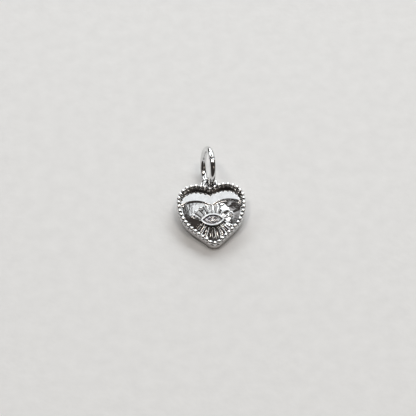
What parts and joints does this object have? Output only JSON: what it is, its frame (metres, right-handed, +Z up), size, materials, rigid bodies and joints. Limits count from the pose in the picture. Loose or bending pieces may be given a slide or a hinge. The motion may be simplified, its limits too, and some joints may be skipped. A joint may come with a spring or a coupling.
{
  "type": "heart charm",
  "caption": "Small heart charm with a beaded rim, a sunburst plate round an almond-shaped stone, a fixed loop at the cleft and a jump ring that hangs it",
  "frame": {"origin": "middle of the bounding box's bottom face, on the table the charm lies on", "axes": "+Z up from the table, +Y from the heart's tip towards its jump ring, +X to the right as the face is looked at"},
  "size_m": [0.01, 0.0158, 0.0061],
  "materials": {
    "polished_silver": "mirror polish, rhodium or silver",
    "ring_silver": "drawn wire, polished, with light wear",
    "clear_stone": "faceted and polished, clear"
  },
  "bodies": {
    "heart": {"back_plate": "polished_silver", "side_wall": "polished_silver", "beaded_rim": "polished_silver", "sunburst_plate": "polished_silver", "eye_bezel": "polished_silver", "eye_stone": "clear_stone", "fixed_loop": "polished_silver"},
    "ring": {"jump_ring": "ring_silver"}
  },
  "joints": [
    {"name": "ring_swing", "type": "hinge", "parent": "heart", "child": "ring", "pos_m": [0, 0.00335, 0.00203], "axis": [1, 0, 0], "range_deg": [-55, 0]}
  ]
}
